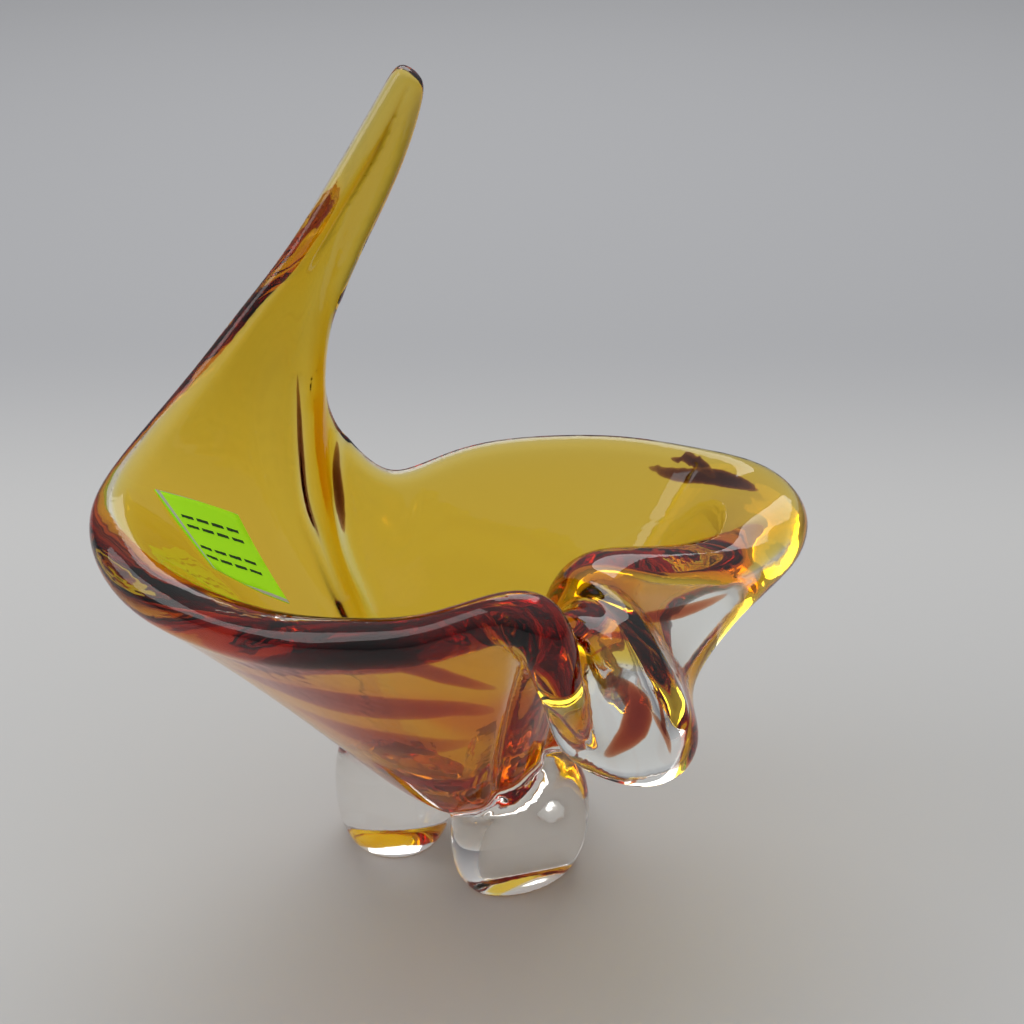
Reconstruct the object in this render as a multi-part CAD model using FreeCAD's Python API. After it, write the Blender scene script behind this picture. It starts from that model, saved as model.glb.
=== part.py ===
"""Pulled art glass bowl: an amber lining cased in thick clear glass, standing on three clear feet.

The wall is one curved sheet.  It leaves the bottom of the bowl in every compass direction and ends at a
rim that the glassmaker pulled into a tall horn (back left), a wing (right) and a drooping tongue (front
right).  Each half of the sheet's thickness lies on one side of its middle surface, and the rim is a round
bead.  The amber lining is the inner skin.  Round most of the bowl it goes on over the rim; in the tongue it
stops short, and the glass there is clear right through.  The clear casing is all the rest of the wall.
The feet are three later gathers of clear glass, fused on below, and a price label is stuck to the lining.

Frame: millimetres, +Z up, -Y towards the tongue.  The driving dimensions are measured from the point of
the table under the bottom of the bowl; the finished pieces are moved so that the origin is on the table
under the middle of the bowl's overall box.
"""
import FreeCAD
import Part
import collections
import math
import os

V = FreeCAD.Vector

# ---------------------------------------------------------------- driving dimensions, mm and degrees
MIDDLE_Z = 23.0            # height of the middle surface at the bottom of the bowl
BOTTOM_HALF = 7.0          # half the glass thickness there
WALL_HALF = 4.0            # half the thickness half way up the wall
START_HANDLE = 30.0        # how far the wall runs flat before it turns up
INNER_DISC = 3.0           # radius of the flat spot in the middle of the inside of the bowl
OUTER_DISC = 6.0           # and of the one under it
AMBER_BOTTOM = 4.0         # thickness of the amber lining at the bottom of the bowl
AMBER_WALL = 2.6           # and up the wall
AMBER_BLUNT = 30           # the higher, the blunter the lining's edge

Foot = collections.namedtuple("Foot", "name angle radius deep wide")
FEET = (                    # direction and distance of its middle, and its half sizes outwards and across
    Foot("foot_left", 180.0, 26.0, 18.0, 19.0),
    Foot("foot_front", -60.0, 23.0, 14.0, 22.0),
    Foot("foot_back", 60.0, 24.0, 14.0, 20.0),
)
FEET_Y = 8.0               # the feet stand round a point a little behind the bottom of the bowl
FOOT_CENTRE_Z = 18.0       # widest part of a foot
FOOT_TALL = 24.0           # its half height, before the table flattens it
FOOT_SQUARE = 2.5          # 2 is an egg; higher numbers square its shoulders
FOOT_ROWS = 10             # rows of poles up the side of a foot
FOOT_COLUMNS = 24          # columns of poles round it
CAP_SHARES = (0.85, 0.65, 0.45, 0.28)   # sizes of the rings of poles in the face that meets the bowl
SEAM = 0.05                # depth of the fused seam between a foot and the bowl
NEWTON_STEPS = 14          # steps of the search for a point of the bowl's underside
HALVINGS = 16              # and of the search for the height at which a foot meets it

# The price label: station and way up of its corners, going round it.
LABEL_CORNERS = ((19.75, 0.965), (18.45, 0.785), (18.5, 0.605), (20.25, 0.79))
LABEL_THICK = 0.3
LABEL_LIFT = 0.2           # gap for the glue
LABEL_GRID = 8

# One row for each place where the rim's run is fixed, going round from the wing by the back.
# x, y, z: the middle of the rim's bead.   start: compass direction in which the wall leaves the bottom.
# lean, slope: compass direction and rise of the wall where it meets the rim.   handle: how long it keeps
# that direction.   bead: radius of the rim.   clear: share of the way up that has no amber; below zero, the
# amber goes on over the rim for that share of the half turn round its bead.
RIM = [
    # x,   y,   z, start, lean, slope, handle, bead, clear
    (85, 2, 108, 5, 5, 5, 42, 6.0, -0.25),         # tip of the wing
    (80, 28, 108, 24, 25, 25, 40, 5.0, -0.35),
    (63, 44, 106, 42, 50, 45, 38, 4.5, -0.35),
    (41, 51, 107, 60, 70, 55, 38, 4.2, -0.40),
    (14, 53, 106, 78, 85, 60, 38, 4.0, -0.40),
    (-8, 52, 102, 94, 100, 65, 36, 4.0, -0.40),
    (-26, 47, 97, 108, 110, 72, 34, 4.0, -0.40),   # saddle behind the horn
    (-40, 44, 108, 120, 90, 82, 42, 4.0, -0.45),
    (-48, 42, 127, 130, 354, 80, 52, 3.8, -0.60),
    (-45, 41, 152, 138, 348, 69, 66, 3.8, -0.70),
    (-35, 39, 176, 145, 346, 60, 88, 3.8, -0.75),
    (-24, 36, 199, 150, 343, 55, 110, 3.8, -0.80),
    (-18, 33, 218, 153, 340, 56, 127, 4.0, -0.80),
    (-18, 33, 223, 156, 340, 57, 129, 4.2, -0.80), # tip of the horn
    (-22, 33, 217, 159, 339, 56, 124, 4.0, -0.80),
    (-35, 33, 196, 163, 338, 57, 102, 3.8, -0.85),
    (-49, 33, 174, 168, 334, 61, 80, 3.8, -0.85),
    (-64, 32, 155, 173, 324, 69, 61, 4.0, -0.80),
    (-77, 28, 139, 179, 243, 83, 53, 4.2, -0.60),
    (-90, 18, 125, 186, 185, 68, 50, 4.8, -0.45),
    (-98, 6, 115, 193, 185, 52, 46, 6.2, -0.35),
    (-98, -8, 109, 201, 192, 42, 44, 7.2, -0.25),  # left shoulder
    (-88, -24, 103, 211, 205, 40, 42, 7.6, -0.20),
    (-70, -40, 102, 222, 222, 42, 40, 7.4, -0.20),
    (-48, -58, 106, 234, 238, 46, 38, 7.0, -0.20),
    (-27, -70, 112, 246, 250, 50, 40, 6.6, -0.25),
    (-8, -77, 118, 257, 262, 50, 44, 6.6, -0.35),
    (9, -80, 126, 267, 275, 45, 46, 7.0, -0.40),   # front lip
    (17, -81, 120, 277, 290, 0, 40, 7.4, -0.30),
    (21, -79, 105, 285, 300, -40, 44, 6.4, -0.10),
    (25, -81, 93, 293, 290, -55, 62, 5.6, 0.06),
    (32, -86, 91, 300, 288, -55, 80, 5.6, 0.10),
    (40, -88, 90, 307, 292, -52, 90, 5.6, 0.10),   # tip of the tongue
    (47, -82, 89, 314, 300, -52, 92, 5.6, 0.08),
    (49, -72, 91, 322, 310, -52, 90, 5.6, 0.09),
    (49, -57, 91, 331, 322, -52, 88, 5.4, 0.11),
    (55, -42, 95, 341, 332, -50, 80, 5.4, 0.10),
    (67, -26, 101, 350, 345, -35, 56, 5.8, 0.0),
    (78, -10, 103, 357, 355, -12, 44, 6.4, -0.20),
]
STATIONS = len(RIM)
COLUMNS = 2 * STATIONS      # columns of poles round the bowl
ROWS_UP = 28                # rows of poles from the bottom of the bowl to the edge of the amber
ROWS_OVER = 10              # rows from there over the rim to its outer side
WALL_LENGTH = 130.0         # about how far it is up the wall, to space those rows evenly
ROWS_DOWN = 26              # rows down the outside
FIRST = 0.12                # way up where the free-form rows begin; inside it the skins are flat rings
SETTLING = 40               # passes that settle the poles of a smooth closed curve
EVENING = ((-2, 0.36), (-1, 0.78), (0, 1.0), (1, 0.78), (2, 0.36))   # steps along the rim and their weights


def column(index):
    """One column of the rim table."""
    return [row[index] for row in RIM]


def unwrapped(angles):
    """The same compass angles without the jump at north, going up by one turn over the list."""
    out = [angles[0]]
    for a in angles[1:]:
        step = (a - out[-1] + 180.0) % 360.0 - 180.0
        out.append(out[-1] + step)
    return out


def periodic(values, turn=0.0):
    """A smooth closed curve through the values, as a function of the station; turn is what one lap adds."""
    n = len(values)
    poles = list(values)
    for _ in range(SETTLING):
        for i in range(n):
            before = poles[i - 1] - (turn if i == 0 else 0.0)
            after = poles[(i + 1) % n] + (turn if i == n - 1 else 0.0)
            poles[i] = (6.0 * values[i] - before - after) / 4.0

    def at(u):
        k = math.floor(u)
        f = u - k
        weights = ((1 - f) ** 3 / 6.0, (3 * f ** 3 - 6 * f ** 2 + 4) / 6.0,
                   (-3 * f ** 3 + 3 * f ** 2 + 3 * f + 1) / 6.0, f ** 3 / 6.0)
        total = 0.0
        for j, w in enumerate(weights):
            i = k - 1 + j
            total += w * (poles[i % n] + turn * (i // n))
        return total

    return at


RIM_X, RIM_Y, RIM_Z = (periodic(column(k)) for k in range(3))
START = periodic(unwrapped(column(3)), 360.0)
LEAN_X = periodic([math.cos(math.radians(r[4])) * math.cos(math.radians(r[5])) for r in RIM])
LEAN_Y = periodic([math.sin(math.radians(r[4])) * math.cos(math.radians(r[5])) for r in RIM])
LEAN_Z = periodic([math.sin(math.radians(r[5])) for r in RIM])
HANDLE, BEAD, CLEAR = (periodic(column(k)) for k in (6, 7, 8))


def rim(u):
    return V(RIM_X(u), RIM_Y(u), RIM_Z(u))


def middle(u, t):
    """A point of the middle surface: u counts stations round the rim, t runs from the bottom (0) to it (1)."""
    bottom = V(0, 0, MIDDLE_Z)
    start = math.radians(START(u))
    lean = V(LEAN_X(u), LEAN_Y(u), LEAN_Z(u)).normalize()
    out = bottom + V(math.cos(start), math.sin(start), 0) * START_HANDLE
    end = rim(u)
    turn = end - lean * HANDLE(u)
    s = 1 - t
    return bottom * s ** 3 + out * (3 * s * s * t) + turn * (3 * s * t * t) + end * t ** 3


def facing(u, t):
    """Which way the middle surface faces, measured over a station to either side."""
    dt = 0.002
    across = middle(u + 1.0, t) - middle(u - 1.0, t)
    along = middle(u, t + dt) - middle(u, t - dt)
    return across.cross(along).normalize() * -1.0


def inward(u, t):
    """The unit normal of the middle surface, towards the inside of the bowl, evened out along the rim.

    Where the horn and the tongue are narrow, evening out keeps the two skins from folding over themselves.
    """
    return sum((facing(u + step, t) * weight for step, weight in EVENING), V()).normalize()


def smoothstep(x):
    x = min(max(x, 0.0), 1.0)
    return x * x * (3 - 2 * x)


def half(u, t):
    """Half the thickness of the glass."""
    low = BOTTOM_HALF + (WALL_HALF - BOTTOM_HALF) * smoothstep(t / 0.45)
    return low + (BEAD(u) - WALL_HALF) * smoothstep((t - 0.45) / 0.5)


def inner(u, t):
    return middle(u, t) + inward(u, t) * half(u, t)


def outer(u, t):
    return middle(u, t) - inward(u, t) * half(u, t)


def bead(u, angle):
    """A point round the rim's bead: angle 0 is its inner side and 180 its outer side."""
    n = inward(u, 1.0)
    along = (rim(u + 0.05) - rim(u - 0.05)).normalize()
    beyond = along.cross(n).normalize()
    if beyond.dot(middle(u, 1.0) - middle(u, 0.97)) < 0:
        beyond = beyond * -1.0
    a = math.radians(angle)
    return rim(u) + (n * math.cos(a) + beyond * math.sin(a)) * half(u, 1.0)


def inside_skin(u, w):
    """A point of the inside, and the way out of the glass there: w is 1 at the rim and 2 when it's over it."""
    if w <= 1.0:
        return inner(u, w), inward(u, w)
    point = bead(u, 180.0 * (w - 1.0))
    return point, (point - rim(u)).normalize()


def amber_depth(u, share):
    """Thickness of the amber, share of the way from the bottom to its edge."""
    full = AMBER_BOTTOM + (AMBER_WALL - AMBER_BOTTOM) * smoothstep(share / 0.4)
    return full * math.sqrt(max(0.0, 1.0 - share ** AMBER_BLUNT))


def stations():
    return [STATIONS * k / COLUMNS for k in range(COLUMNS)]


def shares(count, power=1.0):
    """count + 1 numbers from 0 to 1, closer together towards 1 when the power is above 1."""
    return [1 - (1 - k / count) ** power for k in range(count + 1)]


def ring(radius, height):
    return [V(math.cos(a) * radius, math.sin(a) * radius, height)
            for a in (math.radians(START(u)) for u in stations())]


def lining_rows(depth):
    """Rows of poles from the bottom disc to the amber's edge, depth(u, share) below the inner surface."""
    height = MIDDLE_Z + BOTTOM_HALF - depth(0, 0.0)
    rows = [ring(INNER_DISC, height), ring(1.5 * INNER_DISC, height)]
    for s in shares(ROWS_UP, 1.5):
        row = []
        for u in stations():
            point, outwards = inside_skin(u, up_the_wall(u, s))
            row.append(point - outwards * depth(u, s))
        rows.append(row)
    return rows


def up_the_wall(u, share):
    """How far up the skin it is, share of the way from the bottom to the amber's edge."""
    edge = 1.0 - CLEAR(u)
    wall = (min(edge, 1.0) - FIRST) * WALL_LENGTH
    over = max(edge - 1.0, 0.0) * math.pi * half(u, 1.0)
    way = share * (wall + over)
    if way < wall:
        return FIRST + way / WALL_LENGTH
    return min(edge, 1.0) + (way - wall) / (math.pi * half(u, 1.0))


def over_the_rim(u, share):
    """How far round the skin it is, share of the way from the amber's edge to the outer side of the rim."""
    edge = 1.0 - CLEAR(u)
    wall = max(0.0, 1.0 - edge) * WALL_LENGTH
    over = (2.0 - max(edge, 1.0)) * math.pi * half(u, 1.0)
    way = share * (wall + over)
    if way < wall:
        return edge + way / WALL_LENGTH
    return max(edge, 1.0) + (way - wall) / (math.pi * half(u, 1.0))


def casing_rows():
    """Rows of poles from the amber's edge over the rim and down the outside to the bottom disc."""
    rows = [[inside_skin(u, over_the_rim(u, s))[0] for u in stations()] for s in shares(ROWS_OVER)]
    for s in shares(ROWS_DOWN)[1:]:
        t = 1.0 - (1.0 - FIRST) * s ** 1.2
        rows.append([outer(u, t) for u in stations()])
    height = MIDDLE_Z - BOTTOM_HALF
    rows.append(ring(1.5 * OUTER_DISC, height))
    rows.append(ring(OUTER_DISC, height))
    return rows


def skin(rows):
    """A smooth face that has these rows as its poles, closed round the bowl."""
    surface = Part.BSplineSurface()
    across = len(rows[0])
    up = len(rows)
    poles = [[rows[j][i] for j in range(up)] for i in range(across)]
    v_knots = list(range(up - 2))
    v_mults = [4] + [1] * (up - 4) + [4]
    surface.buildFromPolesMultsKnots(poles, [1] * (across + 1), v_mults, list(range(across + 1)),
                                     v_knots, True, False, 3, 3)
    return surface.toShape()


def disc(face, ring_of_poles):
    """The flat disc that closes a skin at a ring of poles that all lie in one plane."""
    centre = sum(ring_of_poles, V()) * (1.0 / len(ring_of_poles))
    radius = ring_of_poles[0].distanceToPoint(centre)

    def misfit(edge):
        start = edge.Vertexes[0].Point.distanceToPoint(centre)
        return abs(start - radius) + edge.CenterOfMass.distanceToPoint(centre)

    return Part.Face(Part.Wire([min(face.Edges, key=misfit)]))


def solid_of(faces):
    shell = Part.makeShell(faces)
    shell.sewShape()
    solid = Part.Solid(shell)
    if solid.Volume < 0:
        solid.reverse()
    return solid


def build_glass():
    """The amber lining and the clear casing, which share the face between them, and the lining's inside."""
    inside_rows = lining_rows(lambda u, s: 0.0)
    between_rows = lining_rows(amber_depth)
    outside_rows = casing_rows()
    inside, between, outside = (skin(rows) for rows in (inside_rows, between_rows, outside_rows))
    between_disc = disc(between, between_rows[0])
    amber = solid_of([inside, between, disc(inside, inside_rows[0]), between_disc])
    clear = solid_of([outside, between, between_disc, disc(outside, outside_rows[-1])])
    return amber, clear, inside


def coarse_underside():
    """Scattered points of the bowl's outside, each with its station and its way up."""
    grid = [(u, 0.03 * k) for u in range(STATIONS) for k in range(1, 20)]
    return [(outer(u, t), u, t) for u, t in grid]


COARSE = coarse_underside()


def underside(x, y):
    """The point of the bowl's outside above this place on the table, found by Newton's method."""
    _, u, t = min(COARSE, key=lambda c: (c[0].x - x) ** 2 + (c[0].y - y) ** 2)
    for _ in range(NEWTON_STEPS):
        here = outer(u, t)
        du = (outer(u + 0.01, t) - here) * 100.0
        dt = (outer(u, t + 0.001) - here) * 1000.0
        ex, ey = x - here.x, y - here.y
        area = du.x * dt.y - du.y * dt.x
        u += max(-0.5, min(0.5, (ex * dt.y - ey * dt.x) / area))
        t += max(-0.03, min(0.03, (du.x * ey - du.y * ex) / area))
    return outer(u, t) - V(0, 0, SEAM)


def foot_point(foot, around, latitude):
    """A point of the squared egg that a foot is cut from, in its place on the table."""
    a = math.radians(around)
    rise = math.sin(math.radians(latitude))
    girth = (1.0 - abs(rise) ** FOOT_SQUARE) ** (1.0 / FOOT_SQUARE)
    deep = foot.radius + foot.deep * girth * math.cos(a)
    wide = foot.wide * girth * math.sin(a)
    turn = math.radians(foot.angle)
    return V(deep * math.cos(turn) - wide * math.sin(turn),
             deep * math.sin(turn) + wide * math.cos(turn) + FEET_Y,
             FOOT_CENTRE_Z + FOOT_TALL * rise)


def meeting_latitude(foot, around, low, high):
    """The latitude at which the egg's side goes into the bowl's underside."""
    for _ in range(HALVINGS):
        latitude = (low + high) / 2
        p = foot_point(foot, around, latitude)
        if p.z < underside(p.x, p.y).z:
            low = latitude
        else:
            high = latitude
    return low


def build_foot(foot):
    """A petal of clear glass: an egg pressed flat on the table and fused to the underside of the bowl."""
    lowest = -math.degrees(math.asin(FOOT_CENTRE_Z / FOOT_TALL))
    turns = [360.0 * k / FOOT_COLUMNS for k in range(FOOT_COLUMNS)]
    highest = [meeting_latitude(foot, a, lowest, 90.0) for a in turns]
    side_rows = [[foot_point(foot, a, lowest + (h - lowest) * k / FOOT_ROWS) for a, h in zip(turns, highest)]
                 for k in range(FOOT_ROWS + 1)]
    edge = side_rows[-1]
    middle_of_top = sum(edge, V()) * (1.0 / len(edge))
    top_rows = [edge]
    for share in CAP_SHARES:
        row = []
        for p in edge:
            q = middle_of_top + (p - middle_of_top) * share
            row.append(underside(q.x, q.y))
        top_rows.append(row)
    crown = underside(middle_of_top.x, middle_of_top.y)
    east = (underside(crown.x + 1, crown.y) - crown).normalize()
    north = (underside(crown.x, crown.y + 1) - crown).normalize()
    last = []
    for p in edge:
        bearing = math.atan2(p.y - crown.y, p.x - crown.x)
        last.append(crown + east * math.cos(bearing) + north * math.sin(bearing))
    top_rows.append(last)
    side = skin(side_rows)
    top = skin(top_rows)
    return solid_of([side, top, disc(side, side_rows[0]), disc(top, last)])


def build_label(lining_skin):
    """The price label, a square of paper stuck on the inside of the lining and bent with it."""
    wall = lining_skin.Surface
    points = []
    for i in range(LABEL_GRID + 1):
        a = i / LABEL_GRID
        line = []
        for j in range(LABEL_GRID + 1):
            b = j / LABEL_GRID
            weights = ((1 - a) * (1 - b), a * (1 - b), a * b, (1 - a) * b)
            u, t = (sum(w * corner[k] for w, corner in zip(weights, LABEL_CORNERS)) for k in (0, 1))
            place = wall.parameter(inner(u, t))
            line.append(wall.value(*place) + inward(u, t) * LABEL_LIFT)
        points.append(line)
    sheet = Part.BSplineSurface()
    sheet.interpolate(points)
    centre = LABEL_GRID // 2
    across = points[-1][centre] - points[0][centre]
    along = points[centre][-1] - points[centre][0]
    off_the_wall = across.cross(along).normalize()
    if off_the_wall.z < 0:
        off_the_wall = off_the_wall * -1.0
    return sheet.toShape().extrude(off_the_wall * LABEL_THICK)


def write(name, shape):
    shape.exportStep(os.path.join("parts", name + ".step"))
    box = shape.optimalBoundingBox(True, False)
    corners = (box.XMin, box.YMin, box.ZMin, box.XMax, box.YMax, box.ZMax)
    print(name, "valid", shape.isValid(), "volume", round(shape.Volume), "box", [round(x, 1) for x in corners])


def main():
    os.makedirs("parts", exist_ok=True)
    lining, casing, lining_skin = build_glass()
    nodes = {"amber_lining": lining, "clear_casing": casing}
    for foot in FEET:
        nodes[foot.name] = build_foot(foot)
    nodes["price_label"] = build_label(lining_skin)
    box = Part.makeCompound(list(nodes.values())).optimalBoundingBox(True, False)
    to_frame = V(-(box.XMin + box.XMax) / 2, -(box.YMin + box.YMax) / 2, 0)
    print("moved by", round(to_frame.x, 3), round(to_frame.y, 3))
    for name, shape in nodes.items():
        shape.translate(to_frame)
        write(name, shape)


if __name__ == "__main__":
    main()
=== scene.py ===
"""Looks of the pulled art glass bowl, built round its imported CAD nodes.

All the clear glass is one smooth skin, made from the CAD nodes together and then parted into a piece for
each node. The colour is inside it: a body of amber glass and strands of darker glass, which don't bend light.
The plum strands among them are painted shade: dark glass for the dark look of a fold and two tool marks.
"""
import bmesh
import bpy
import math
import numpy as np
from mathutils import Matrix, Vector
from mathutils.bvhtree import BVHTree


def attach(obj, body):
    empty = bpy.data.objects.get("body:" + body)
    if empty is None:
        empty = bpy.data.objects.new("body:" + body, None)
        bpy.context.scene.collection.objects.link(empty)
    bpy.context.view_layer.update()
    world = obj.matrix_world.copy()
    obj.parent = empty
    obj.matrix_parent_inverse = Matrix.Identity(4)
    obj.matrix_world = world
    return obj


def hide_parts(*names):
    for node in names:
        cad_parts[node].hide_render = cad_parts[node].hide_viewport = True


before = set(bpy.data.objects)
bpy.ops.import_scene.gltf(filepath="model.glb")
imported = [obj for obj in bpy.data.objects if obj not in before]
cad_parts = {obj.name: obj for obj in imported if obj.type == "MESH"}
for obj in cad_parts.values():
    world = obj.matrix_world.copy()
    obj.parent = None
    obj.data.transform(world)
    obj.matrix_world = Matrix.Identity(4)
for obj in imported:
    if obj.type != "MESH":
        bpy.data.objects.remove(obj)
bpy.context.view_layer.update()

# ---------------------------------------------------------------- sizes, in metres
FEET = ("foot_left", "foot_front", "foot_back")
GLASS = ("clear_casing", "amber_lining") + FEET
FEET_TOP = 0.046           # no foot reaches above this
NODE_REACH = 0.004         # how far from a face to look for the node it belongs to
ON_LINING = 0.0006         # a face this near the lining belongs to it

SKIN_VOXEL = 0.0007
AMBER_VOXEL = 0.7 * SKIN_VOXEL
AMBER_INSET = 0.00025      # the amber stays this far inside the skin

MERGE = 1e-6               # vertices nearer than this are the same
PRESS_STEP = 0.0005        # how far apart the points along a crease are
STRAND_STEP = 0.0010       # along a strand
IRON_STEP = 0.003          # along a curve that is ironed

# ---------------------------------------------------------------- shares and counts
SMOOTHING = (0.5, -0.53)   # a step towards the neighbours and a slightly longer one back, so nothing shrinks
IRONING = 0.5              # a step towards the neighbours
IRON_FADE = 0.25           # the outer share of the radius, where ironing fades out
TAPER = 0.6                # creases and strands are rounded off at their ends by this power of a sine
STRAND_END = 0.02          # the size of a strand's blunt end, as a share of its middle
RING = 12                  # sides of a strand's section
BOUNCES = 32
GLOSSY_BOUNCES = 12

# ---------------------------------------------------------------- places on the bowl
# Creases: curve in mm, depth and half width in metres. Two tool marks under the horn, and ribs by the spout.
MARKS = (
    (((-44, 53, 138), (-44, 51, 118), (-43, 48, 100), (-38, 45, 86), (-32, 41, 71)), 0.0014, 0.0016),
    (((-33, 59, 117), (-34, 56, 103), (-34, 54, 91), (-31, 51, 79), (-24, 48, 63)), 0.0016, 0.0018),
)
RIBS = tuple(
    (((70, 42 + k, 99), (57, 48 + k, 91.5), (45, 49 + k, 83.5), (36, 46 + k, 77)), 0.0004, 0.0005)
    for k in (-3.0, -1.0, 1.0, 3.0))

# Strands of darker glass in the wall: curve in mm, half width, half thickness and depth in metres.
PLUM_PAINTED_SHADE = (                    # painted shade: dark glass along a fold by the wing, for its dark bird shape, and along the two tool marks
    (((56, 61, 106), (64, 57, 105.5), (73, 53, 107), (80, 44, 109.5), (85, 34, 112)), 0.0028, 0.0009, 0.0045),
    (((63, 62, 112), (69, 59, 110), (75, 51, 107)), 0.0018, 0.0008, 0.0045),
    (((-44, 53, 138), (-44, 52, 127), (-44, 51, 114), (-43, 49, 101), (-39, 46, 88)), 0.0010, 0.0006, 0.0015),
    (((-34, 58, 115), (-35, 57, 106), (-34, 55, 96), (-33, 53, 86)), 0.0019, 0.0007, 0.0015),
)
MAROON = (                  # streaks in the front wall, in the tongue and along the underside of the spout
    (((-59, -26, 93), (-46, -37, 96), (-29, -53, 106), (-11, -61, 111), (2, -56, 104), (14, -47, 96)),
     0.0050, 0.0010, 0.0032),
    (((-58, -12, 84), (-32, -33, 85), (-14, -41, 88), (2, -45, 89), (14, -40, 84)), 0.0078, 0.0008, 0.0034),
    (((-44, -12, 69), (-26, -22, 67), (-10, -29, 69), (8, -32, 72)), 0.0072, 0.0005, 0.0034),
    (((40, -60, 109), (47, -64, 104), (45, -69, 99.5), (37, -71, 93)), 0.0034, 0.0015, 0.0030),
    (((50, -64, 102), (54, -67, 97), (55, -70, 93)), 0.0010, 0.0006, 0.0025),
    (((60, -40, 97), (61, -50, 94), (60, -64, 91)), 0.0014, 0.0008, 0.0025),
    (((37, -50, 114.5), (44, -48, 113.6), (49, -50, 110), (49, -57, 107)), 0.0014, 0.0007, 0.0030),
    (((42, -45, 114), (52, -30, 107.5), (62, -22, 105), (74, -13, 104.5)), 0.0017, 0.0008, 0.0035),
)

# Where the CAD's skins fold over, as curves in mm: at the foot of the horn, and down its back.
HORN_FOOT = ((-30, 45, 62), (-30, 45, 58))
HORN_FOOT_RADIUS = 0.036
HORN_BACK = ((-38, 66, 172), (-39, 64, 155), (-40, 64, 139), (-42, 64, 127), (-40, 59, 104), (-37, 54, 82),
             (-34, 51, 62), (-29, 47, 51), (-22, 41, 40))
HORN_BACK_RADIUS = 0.010

# The amber of the front wall is thicker in streaks.
SWIRL_MIDDLE = np.array((0.0, 0.02, 0.12))     # a point inside the bowl: the outside of the wall faces away
SWIRL_DEPTH = 0.0030
FACES_AWAY = 0.3

# ---------------------------------------------------------------- glass, paper and ink
IOR = 1.5
UNBENT = 1.0                                   # the IOR of coloured glass inside clear glass
WHITE = (1.0, 1.0, 1.0)
CLEAR_TINT = (0.975, 0.985, 0.96)
AMBER_TINT = (1.0, 0.86, 0.55)
FOOT_TINT = (0.985, 0.975, 0.95)
FOOT_ROUGHNESS = 0.03
AMBER_ABSORBS = (36.0, 185.0, 1250.0)          # red, green and blue taken out a metre, in nepers
# Plum glass is painted shade, for the dark look of the wing fold and the tool marks.
PLUM_SHADE_ABSORBS = (1500.0, 2400.0, 2600.0)
MAROON_ABSORBS = (420.0, 1300.0, 1900.0)

PAPER_ROUGHNESS = 0.6
LABEL_GREEN = (0.54, 0.94, 0.02)
LABEL_PAINTED_GLOW = (0.30, 1.0, 0.0)                  # painted glow: emission over the fluorescent ink, so the paper shines a little in any light
LABEL_PAINTED_GLOW_STRENGTH = 0.26
BORDER_COLOUR = (0.75, 0.80, 0.65)
DASH_COLOUR = (0.03, 0.08, 0.02)

# The label's print, in shares of its sides, and how far it stands on the paper.
BORDER = 0.05
BORDER_LIFT = 0.00005
DASH_LENGTH = 0.14
DASH_HEIGHT = 0.035
DASH_LIFT = 0.0001
INK_STEPS = 6
FACES_UP = 0.1                                 # the paper's upper side has normals that rise more than this
ABOVE_LABEL = 0.004                            # print is dropped onto the paper from this far above it

# ---------------------------------------------------------------- floor, light and camera
FLOOR_RADIUS = 6.0
FLOOR_GAP = 0.0003                             # keeps the floor from touching the feet
FLOOR_ROUGHNESS = 0.7
FLOOR_NEAR = (0.56, 0.56, 0.555)
FLOOR_FAR = (0.395, 0.40, 0.415)
FLOOR_SWEEP = (0.20, 0.44)                     # the floor turns from near to far between these depths
SKY_BELOW = (0.25, 0.25, 0.27)
SKY_ABOVE = (1.0, 1.0, 1.0)
SKY_STRENGTH = 0.70
CAMERA = Vector((0.0166, -0.4274, 0.339))
AIM = Vector((0.0166, 0.0181, 0.112))
LENS = 64.5
SENSOR = 36.0


# ---------------------------------------------------------------- mesh tools
def placed(name, data):
    """A new object with this mesh, lamp or camera, in the scene."""
    obj = bpy.data.objects.new(name, data)
    bpy.context.scene.collection.objects.link(obj)
    return obj


def mesh_of(bm, name):
    """Turns a bmesh into a mesh."""
    mesh = bpy.data.meshes.new(name)
    bm.to_mesh(mesh)
    bm.free()
    return mesh


def get_points(mesh):
    """A mesh's vertices, one row each."""
    flat = np.empty(len(mesh.vertices) * 3)
    mesh.vertices.foreach_get("co", flat)
    return flat.reshape(-1, 3)


def set_points(mesh, points):
    mesh.vertices.foreach_set("co", points.ravel())
    mesh.update()


def get_normals(mesh):
    return np.array([normal.vector for normal in mesh.vertex_normals])


def get_edges(mesh):
    """The two vertices of each edge."""
    flat = np.empty(len(mesh.edges) * 2, dtype=np.int64)
    mesh.edges.foreach_get("vertices", flat)
    return flat.reshape(-1, 2)


def shade_smooth(mesh):
    mesh.polygons.foreach_set("use_smooth", np.ones(len(mesh.polygons), dtype=bool))


def surface(mesh):
    """A search tree over a mesh's faces."""
    return BVHTree.FromPolygons(get_points(mesh).tolist(), [face.vertices[:] for face in mesh.polygons])


def node_surface(name):
    """A search tree over a CAD node's faces."""
    return surface(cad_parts[name].data)


def joined(names, name):
    """One object with copies of the shapes of these CAD nodes, their vertices merged."""
    bm = bmesh.new()
    for node in names:
        bm.from_mesh(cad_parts[node].data)
    bmesh.ops.remove_doubles(bm, verts=bm.verts, dist=MERGE)
    return placed(name, mesh_of(bm, name))


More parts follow.
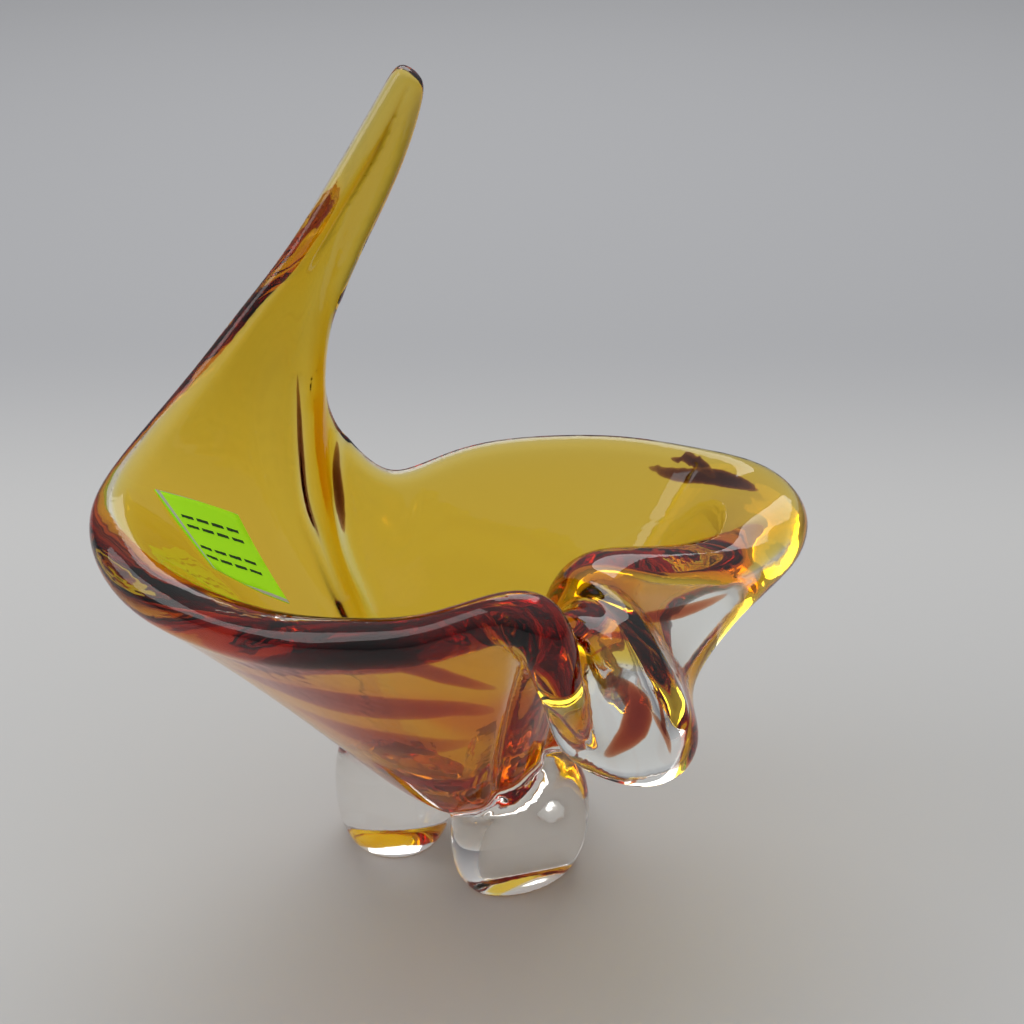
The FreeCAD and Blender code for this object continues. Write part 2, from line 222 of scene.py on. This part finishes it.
def remeshed(obj, size):
    """The object's outside as an even mesh of small squares, drawn back onto the object's own surface."""
    target = placed("target", obj.data)
    mod = obj.modifiers.new("remesh", "REMESH")
    mod.mode = "VOXEL"
    mod.voxel_size = size
    mod.use_smooth_shade = True
    snap = obj.modifiers.new("snap", "SHRINKWRAP")
    snap.target = target
    snap.wrap_method = "NEAREST_SURFACEPOINT"
    bpy.context.view_layer.update()
    evaluated = obj.evaluated_get(bpy.context.evaluated_depsgraph_get())
    mesh = bpy.data.meshes.new_from_object(evaluated)
    obj.modifiers.clear()
    obj.data = mesh
    bpy.data.objects.remove(target)
    return obj


def to_neighbours(points, edges):
    """For each point, the way from it to the middle of the points that it shares an edge with."""
    count = len(points)
    a, b = edges.T
    degree = np.maximum(np.bincount(np.concatenate([a, b]), minlength=count), 1)[:, None]
    total = np.empty_like(points)
    for axis in range(3):
        total[:, axis] = (np.bincount(a, weights=points[b, axis], minlength=count)
                          + np.bincount(b, weights=points[a, axis], minlength=count))
    return total / degree - points


def smooth(mesh, passes):
    """Takes out the steps of the voxels and keeps the size."""
    points, edges = get_points(mesh), get_edges(mesh)
    for _ in range(passes):
        for step in SMOOTHING:
            points = points + step * to_neighbours(points, edges)
    set_points(mesh, points)


def polyline(line, step):
    """Points a step apart along a smooth curve through these, in mm, and how far along each is, 0 to 1."""
    p = np.array(line) / 1000.0
    p = np.vstack([2 * p[0] - p[1], p, 2 * p[-1] - p[-2]])
    out = []
    for a, b, c, d in zip(p, p[1:], p[2:], p[3:]):
        for f in np.arange(0, 1, step / np.linalg.norm(c - b)):
            out.append(0.5 * (2 * b + (c - a) * f + (2 * a - 5 * b + 4 * c - d) * f ** 2
                              + (3 * b - a - 3 * c + d) * f ** 3))
    return np.array(out), np.linspace(0, 1, len(out))


def iron(mesh, line, radius, passes):
    """Irons out the creases near a curve through these points, in mm; the rest of the mesh stays as it is."""
    points = get_points(mesh)
    gap = np.full(len(points), np.inf)
    for place in polyline(line, IRON_STEP)[0]:
        gap = np.minimum(gap, np.linalg.norm(points - place, axis=1))
    share = np.clip((radius - gap) / (IRON_FADE * radius), 0, 1)
    edges = get_edges(mesh)
    edges = edges[(share[edges] > 0).any(axis=1)]
    used, local = np.unique(edges, return_inverse=True)
    local = local.reshape(-1, 2)
    part = points[used]
    step = IRONING * share[used][:, None]
    for _ in range(passes):
        part = part + step * to_neighbours(part, local)
    points[used] = part
    set_points(mesh, points)


def inset(mesh, depth):
    """Moves every vertex inwards along its normal."""
    set_points(mesh, get_points(mesh) - get_normals(mesh) * depth)


def pressed(mesh, creases):
    """Presses creases into the mesh: each is a curve in mm, and a depth and a half width in metres."""
    points, normals = get_points(mesh), get_normals(mesh)
    for line, depth, width in creases:
        curve, along = polyline(line, PRESS_STEP)
        reach = 3 * width
        near = np.all((points > curve.min(0) - reach) & (points < curve.max(0) + reach), axis=1)
        index = np.nonzero(near)[0]
        gaps = np.linalg.norm(points[index, None] - curve[None], axis=2)
        closest = gaps.argmin(axis=1)
        gap = gaps[np.arange(len(index)), closest]
        taper = np.sin(np.pi * along[closest]) ** TAPER
        push = depth * taper * np.exp(-(gap / width) ** 2)
        points[index] -= normals[index] * push[:, None]
    set_points(mesh, points)


def rising(values, start, length):
    """Rises from 0 at the start to 1 over this length; with a negative length it falls to 0 at the start."""
    return np.clip((values - start) / length, 0, 1)


def swirled(mesh):
    """Thickens the amber of the front wall outwards into the clear glass, in streaks along the rim."""
    points, normals = get_points(mesh), get_normals(mesh)
    x, y, z = points.T
    away = points - SWIRL_MIDDLE
    outside = np.einsum("ij,ij->i", normals, away) > FACES_AWAY * np.linalg.norm(away, axis=1)
    front = rising(y, 0.004, -0.03) * rising(x, 0.055, -0.02)
    height = rising(z, 0.030, 0.02) * rising(z, 0.100, -0.010)
    # Waves along z, bent by slower waves along x and y; the large numbers are radians a metre.
    flow = np.sin(170 * z + 60 * x + 1.8 * np.sin(70 * x + 40 * y) + 0.8 * np.sin(150 * x + 1.0))
    streaks = 0.45 + 0.55 * np.clip(flow, -0.6, 1.0)
    push = SWIRL_DEPTH * outside * front * height * streaks
    set_points(mesh, points + normals * push[:, None])


def split(obj, keys, names):
    """Parts a surface of four-sided faces into a piece for each key, with smooth normals across the seams."""
    mesh = obj.data
    faces = np.empty(len(mesh.polygons) * 4, dtype=np.int64)
    mesh.polygons.foreach_get("vertices", faces)
    faces = faces.reshape(-1, 4)
    points, normals = get_points(mesh), get_normals(mesh)
    pieces = []
    for key, name in enumerate(names):
        used, index = np.unique(faces[keys == key], return_inverse=True)
        part = bpy.data.meshes.new(name)
        part.from_pydata(points[used].tolist(), [], index.reshape(-1, 4).tolist())
        shade_smooth(part)
        part.normals_split_custom_set_from_vertices(normals[used].tolist())
        pieces.append(placed(name, part))
    bpy.data.objects.remove(obj)
    return pieces


def nearest_nodes(obj):
    """For each face, which CAD node's surface it is on: 0 the casing, 1 the lining, 2 and up the feet."""
    lining, casing = node_surface("amber_lining"), node_surface("clear_casing")
    feet = [node_surface(name) for name in FEET]
    keys = np.zeros(len(obj.data.polygons), dtype=np.int64)
    for k, poly in enumerate(obj.data.polygons):
        centre = poly.center
        if centre.z < FEET_TOP:
            gaps = [foot.find_nearest(centre, NODE_REACH)[3] for foot in feet]
            gaps = [NODE_REACH if gap is None else gap for gap in gaps]
            own = casing.find_nearest(centre, NODE_REACH)[3]
            if min(gaps) < (NODE_REACH if own is None else own):
                keys[k] = 2 + gaps.index(min(gaps))
                continue
        if lining.find_nearest(centre, ON_LINING)[3] is not None:
            keys[k] = 1
    return keys


# ---------------------------------------------------------------- materials
def material(name, colour, roughness):
    """A material of this colour and roughness, and its shader node."""
    mat = bpy.data.materials.new(name)
    mat.use_nodes = True
    shader = mat.node_tree.nodes["Principled BSDF"]
    shader.inputs["Base Color"].default_value = (*colour, 1)
    shader.inputs["Roughness"].default_value = roughness
    return mat, shader


def glass(name, ior, tint, absorb=None, roughness=0.0):
    """Glass with a surface tint; absorb is how much red, green and blue it takes out a metre, in nepers."""
    mat, shader = material(name, tint, roughness)
    shader.inputs["Transmission Weight"].default_value = 1.0
    shader.inputs["IOR"].default_value = ior
    if absorb:
        nodes, links = mat.node_tree.nodes, mat.node_tree.links
        volume = nodes.new("ShaderNodeVolumeAbsorption")
        density = max(absorb)
        volume.inputs["Density"].default_value = density
        volume.inputs["Color"].default_value = [1 - a / density for a in absorb] + [1]
        links.new(volume.outputs[0], nodes["Material Output"].inputs["Volume"])
    return mat


def finish_piece(piece, mat, slot, *nodes):
    """Gives a piece its glass or paper, sets it under the root body, and hides the CAD nodes it stands for.
    """
    piece.data.materials.clear()
    piece.data.materials.append(mat)
    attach(piece, "root")
    if nodes:
        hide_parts(*nodes)


# ---------------------------------------------------------------- the clear skin and the feet
skin = remeshed(joined(GLASS, "glass_skin"), SKIN_VOXEL)
iron(skin.data, HORN_FOOT, HORN_FOOT_RADIUS, passes=120)
iron(skin.data, HORN_BACK, HORN_BACK_RADIUS, passes=80)
smooth(skin.data, passes=30)
keys = nearest_nodes(skin)
wall = surface(skin.data)
pressed(skin.data, MARKS + RIBS)
PIECES = ("casing_glass", "lining_skin", "foot_left_glass", "foot_front_glass", "foot_back_glass")
casing, lining, *feet = split(skin, keys, PIECES)
finish_piece(casing, glass("clear_glass", IOR, CLEAR_TINT), "clear_glass", "clear_casing")
finish_piece(lining, glass("amber_skin", IOR, AMBER_TINT), "amber_glass", "amber_lining")
foot_glass = glass("foot_glass", IOR, FOOT_TINT, roughness=FOOT_ROUGHNESS)
for foot, node in zip(feet, FEET):
    finish_piece(foot, foot_glass, "foot_glass", node)

# ---------------------------------------------------------------- the amber under the lining's skin
amber = remeshed(joined(["amber_lining"], "amber_glass"), AMBER_VOXEL)
iron(amber.data, HORN_FOOT, HORN_FOOT_RADIUS, passes=160)
iron(amber.data, HORN_BACK, HORN_BACK_RADIUS, passes=140)
smooth(amber.data, passes=6)
inset(amber.data, AMBER_INSET)
pressed(amber.data, MARKS + RIBS)
swirled(amber.data)
shade_smooth(amber.data)
finish_piece(amber, glass("amber_glass", UNBENT, WHITE, AMBER_ABSORBS), "amber_glass", "amber_lining")


# ---------------------------------------------------------------- strands of darker glass; the plum ones are painted shade
def strand(beside, line, wide, thick, depth, verts, faces):
    """Adds a flat tapered strand that follows this surface, at this depth under it."""
    curve, along = polyline(line, STRAND_STEP)
    first = len(verts)
    for k, (place, share) in enumerate(zip(curve, along)):
        point, normal, _, _ = beside.find_nearest(Vector(place))
        ahead = Vector(curve[min(k + 1, len(curve) - 1)] - curve[max(k - 1, 0)]).normalized()
        side = ahead.cross(normal).normalized()
        size = max(math.sin(math.pi * share), 0.0) ** TAPER + STRAND_END
        for turn in range(RING):
            angle = 2 * math.pi * turn / RING
            verts.append(point - normal * depth + side * (wide * size * math.cos(angle))
                         + normal * (thick * size * math.sin(angle)))
    rings = len(curve)
    for k in range(rings - 1):
        for turn in range(RING):
            i = first + k * RING + turn
            j = first + k * RING + (turn + 1) % RING
            faces.append((i, j, j + RING, i + RING))
    faces.append(tuple(first + turn for turn in reversed(range(RING))))
    faces.append(tuple(first + (rings - 1) * RING + turn for turn in range(RING)))


def strands(name, beside, rows, absorb):
    """Makes one piece of all these strands."""
    verts, faces = [], []
    for line, wide, thick, depth in rows:
        strand(beside, line, wide, thick, depth, verts, faces)
    mesh = bpy.data.meshes.new(name)
    mesh.from_pydata(verts, [], faces)
    bm = bmesh.new()
    bm.from_mesh(mesh)
    bmesh.ops.recalc_face_normals(bm, faces=bm.faces)
    bm.to_mesh(mesh)
    bm.free()
    shade_smooth(mesh)
    finish_piece(placed(name, mesh), glass(name, UNBENT, WHITE, absorb), "amber_glass")


# The plum strands are painted shade in the wing fold and along the tool marks.
strands("plum_shade_strands", node_surface("amber_lining"), PLUM_PAINTED_SHADE, PLUM_SHADE_ABSORBS)
strands("maroon_strands", wall, MAROON, MAROON_ABSORBS)

# ---------------------------------------------------------------- the price label
label = joined(["price_label"], "label_paper")
label_paper, paper_shader = material("label_paper", LABEL_GREEN, PAPER_ROUGHNESS)
# Painted glow: the label's paper gets emission, for the brightness of its fluorescent ink.
paper_shader.inputs["Emission Color"].default_value = (*LABEL_PAINTED_GLOW, 1)
paper_shader.inputs["Emission Strength"].default_value = LABEL_PAINTED_GLOW_STRENGTH
finish_piece(label, label_paper, "label_paper", "price_label")


def label_corners():
    """The label's four corners, going round it from the one on the left, and the way it faces."""
    points = get_points(label.data)
    first, third = points[points[:, 0].argmin()], points[points[:, 0].argmax()]
    upper = [np.array(face.normal) * face.area for face in label.data.polygons if face.normal.z > FACES_UP]
    facing = np.mean(upper, axis=0)
    across = np.cross(facing, third - first)
    second, fourth = points[(points @ across).argmax()], points[(points @ across).argmin()]
    return (first, second, third, fourth), Vector(facing).normalized()


def on_label(name, rectangles, lift, colour):
    """Flat rectangles of ink on the label; each is given by its sides, as shares of the label's."""
    paper = node_surface("price_label")
    (a, b, c, d), facing = label_corners()
    verts, faces = [], []
    for low_x, high_x, low_y, high_y in rectangles:
        for k in range(INK_STEPS + 1):
            x = low_x + (high_x - low_x) * k / INK_STEPS
            for y in (low_y, high_y):
                flat = (a * (1 - x) + b * x) * (1 - y) + (d * (1 - x) + c * x) * y
                point, normal, _, _ = paper.find_nearest(Vector(flat) + facing * ABOVE_LABEL)
                verts.append(point + normal * lift)
        for k in range(INK_STEPS):
            i = len(verts) - 2 * (INK_STEPS + 1) + 2 * k
            faces.append((i, i + 1, i + 3, i + 2))
    mesh = bpy.data.meshes.new(name)
    mesh.from_pydata(verts, [], faces)
    ink, _ = material(name, colour, PAPER_ROUGHNESS)
    finish_piece(placed(name, mesh), ink, "label_paper")


EDGES = ((0, 1, 1 - BORDER, 1), (0, BORDER, 0, 1), (0, 1, 0, BORDER / 3))
DASHES = tuple((left, left + DASH_LENGTH, row, row + DASH_HEIGHT)
               for row in (0.25, 0.36, 0.60, 0.71) for left in (0.15, 0.33, 0.51, 0.69))
on_label("label_border", EDGES, BORDER_LIFT, BORDER_COLOUR)
on_label("label_dashes", DASHES, DASH_LIFT, DASH_COLOUR)


# ---------------------------------------------------------------- floor
def floor_paint():
    """Pale paint that turns a little darker and cooler behind the bowl."""
    mat, shader = material("floor", FLOOR_NEAR, FLOOR_ROUGHNESS)
    nodes, links = mat.node_tree.nodes, mat.node_tree.links
    place = nodes.new("ShaderNodeNewGeometry")
    axes = nodes.new("ShaderNodeSeparateXYZ")
    sweep = nodes.new("ShaderNodeMapRange")
    sweep.interpolation_type = "SMOOTHSTEP"
    sweep.inputs["From Min"].default_value = FLOOR_SWEEP[0]
    sweep.inputs["From Max"].default_value = FLOOR_SWEEP[1]
    tones = nodes.new("ShaderNodeValToRGB")
    tones.color_ramp.elements[0].color = (*FLOOR_NEAR, 1)
    tones.color_ramp.elements[1].color = (*FLOOR_FAR, 1)
    links.new(place.outputs["Position"], axes.inputs[0])
    links.new(axes.outputs["Y"], sweep.inputs["Value"])
    links.new(sweep.outputs[0], tones.inputs[0])
    links.new(tones.outputs[0], shader.inputs["Base Color"])
    return mat


bm = bmesh.new()
bmesh.ops.create_circle(bm, cap_ends=True, segments=96, radius=FLOOR_RADIUS)
floor = placed("floor", mesh_of(bm, "floor"))
floor.location.z = -FLOOR_GAP
floor.data.materials.append(floor_paint())


# ---------------------------------------------------------------- light
def sky():
    """Soft light from all round, paler above than below."""
    world = bpy.data.worlds.new("studio")
    world.use_nodes = True
    nodes, links = world.node_tree.nodes, world.node_tree.links
    coords = nodes.new("ShaderNodeTexCoord")
    axes = nodes.new("ShaderNodeSeparateXYZ")
    ramp = nodes.new("ShaderNodeValToRGB")
    ramp.color_ramp.elements[0].color = (*SKY_BELOW, 1)
    ramp.color_ramp.elements[1].color = (*SKY_ABOVE, 1)
    links.new(coords.outputs["Generated"], axes.inputs[0])
    links.new(axes.outputs["Z"], ramp.inputs[0])
    links.new(ramp.outputs[0], nodes["Background"].inputs["Color"])
    nodes["Background"].inputs["Strength"].default_value = SKY_STRENGTH
    return world


def turned(place, target):
    """The rotation that turns a lamp or camera at this place towards the target."""
    return (Vector(target) - Vector(place)).to_track_quat("-Z", "Y").to_euler()


def panel(name, place, target, size, power):
    """A rectangular lamp, its power in watts."""
    lamp = bpy.data.lights.new(name, "AREA")
    lamp.shape = "RECTANGLE"
    lamp.size, lamp.size_y = size
    lamp.energy = power
    obj = placed(name, lamp)
    obj.location = place
    obj.rotation_euler = turned(place, target)


bpy.context.scene.world = sky()
panel("key", (0.0, 0.95, 1.15), (0, 0, 0.05), (1.2, 0.9), 8.5)
panel("window", (-0.9, -0.1, 0.7), (0, 0, 0.1), (0.5, 0.7), 2.0)

# ---------------------------------------------------------------- camera
camera_data = bpy.data.cameras.new("camera")
camera_data.sensor_width = SENSOR
camera_data.lens = LENS
camera = placed("camera", camera_data)
camera.location = CAMERA
camera.rotation_euler = turned(CAMERA, AIM)

scene = bpy.context.scene
scene.camera = camera
scene.view_settings.view_transform = "Standard"
scene.cycles.max_bounces = BOUNCES
scene.cycles.transmission_bounces = BOUNCES
scene.cycles.transparent_max_bounces = BOUNCES
scene.cycles.glossy_bounces = GLOSSY_BOUNCES
scene.cycles.use_denoising = True
